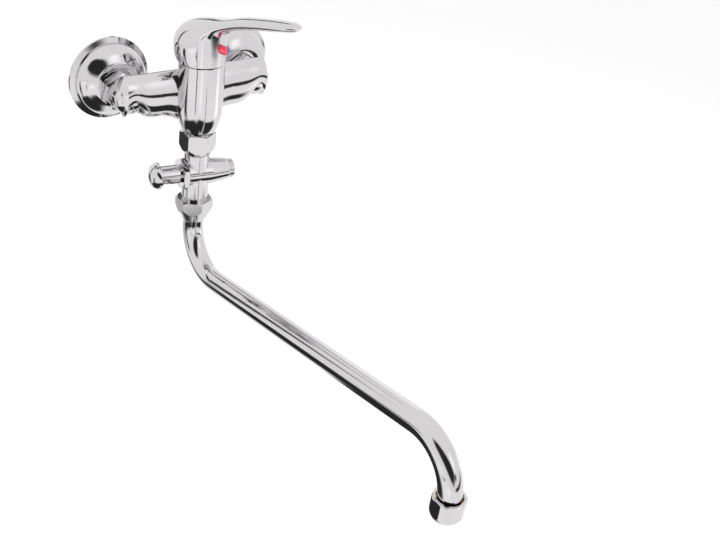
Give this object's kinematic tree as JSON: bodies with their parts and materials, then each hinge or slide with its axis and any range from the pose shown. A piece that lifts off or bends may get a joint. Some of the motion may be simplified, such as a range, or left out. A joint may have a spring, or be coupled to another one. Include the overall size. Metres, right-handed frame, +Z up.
{
  "type": "wall mixer tap",
  "caption": "Wall-mounted lever mixer tap with domed wall rosettes, a pull diverter feeding a side shower outlet, and a long swivelling tube spout ending in an aerator.",
  "frame": {"origin": "on the wall surface, midway between the two wall threads", "axes": "+Y into the wall, so the tap stands out along -Y; +Z up; +X to the right of someone who faces the wall"},
  "size_m": [0.2384, 0.5412, 0.3323],
  "materials": {
    "rosette_chrome": "polished chrome plate on pressed brass",
    "chrome": "polished chrome plate on brass",
    "fibre": "matte red fibre washer",
    "brass": "machined",
    "tube_chrome": "polished chrome plate on drawn brass tube",
    "steel": "machined stainless",
    "mesh_steel": "woven stainless wire",
    "rubber": "matte black",
    "white_plastic": "satin moulded acetal",
    "grey_plastic": "satin moulded",
    "ceramic": "lapped alumina",
    "index_red": "glossy",
    "index_blue": "glossy"
  },
  "bodies": {
    "tap": {"left_rosette": "rosette_chrome", "left_eccentric": "chrome", "left_inlet_washer": "fibre", "left_union_tail": "brass", "left_union_nut": "chrome", "right_rosette": "rosette_chrome", "right_eccentric": "chrome", "right_inlet_washer": "fibre", "right_union_tail": "brass", "right_union_nut": "chrome", "mixer_body": "chrome", "cartridge_cap": "chrome", "diverter_nut": "chrome", "diverter_body": "chrome", "diverter_gland": "chrome", "spout_nut": "chrome", "cartridge_nut": "brass", "gland_retainer": "brass", "split_ring": "steel", "cartridge_gasket": "rubber", "diverter_gasket": "rubber", "spindle_seal": "rubber", "spout_seal": "rubber", "cartridge_base": "white_plastic", "cartridge_housing": "grey_plastic", "fixed_disc": "ceramic"},
    "turner": {"cartridge_turner": "white_plastic", "lever_pin": "steel"},
    "disc": {"moving_disc": "ceramic", "disc_carrier": "grey_plastic"},
    "lever": {"lever_stem": "steel", "handle": "chrome", "grub_screw": "steel", "index_hot": "index_red", "index_cold": "index_blue"},
    "pull": {"diverter_spindle": "brass", "valve_washer": "rubber", "diverter_knob": "chrome"},
    "spout": {"spout_tube": "tube_chrome", "spout_collar": "brass", "spout_ferrule": "brass", "aerator_nut": "chrome", "aerator_gasket": "rubber", "aerator_insert": "white_plastic", "aerator_mesh": "mesh_steel"}
  },
  "joints": [
    {"name": "lever_turn", "type": "hinge", "parent": "tap", "child": "turner", "pos_m": [0, -0.06, 0.0196], "axis": [0, 0, 1], "range_deg": [-65, 25]},
    {"name": "lever_lift", "type": "hinge", "parent": "turner", "child": "lever", "pos_m": [0, -0.06, 0.0196], "axis": [-0.9397, -0.342, 0], "range_deg": [0, 20]},
    {"name": "disc_slide", "type": "slide", "parent": "turner", "child": "disc", "axis": [0.342, -0.9397, 0], "range_m": [0, 0.0037]},
    {"name": "diverter_pull", "type": "slide", "parent": "tap", "child": "pull", "axis": [-0.9877, 0.1564, 0], "range_m": [0, 0.008]},
    {"name": "spout_swivel", "type": "hinge", "parent": "tap", "child": "spout", "pos_m": [0, -0.06, -0.15], "axis": [0, 0, 1], "range_deg": [-90, 90]}
  ],
  "couplings": [
    {"joint": "disc_slide", "follows": "lever_lift", "m_per_rad": 0.0105}
  ]
}
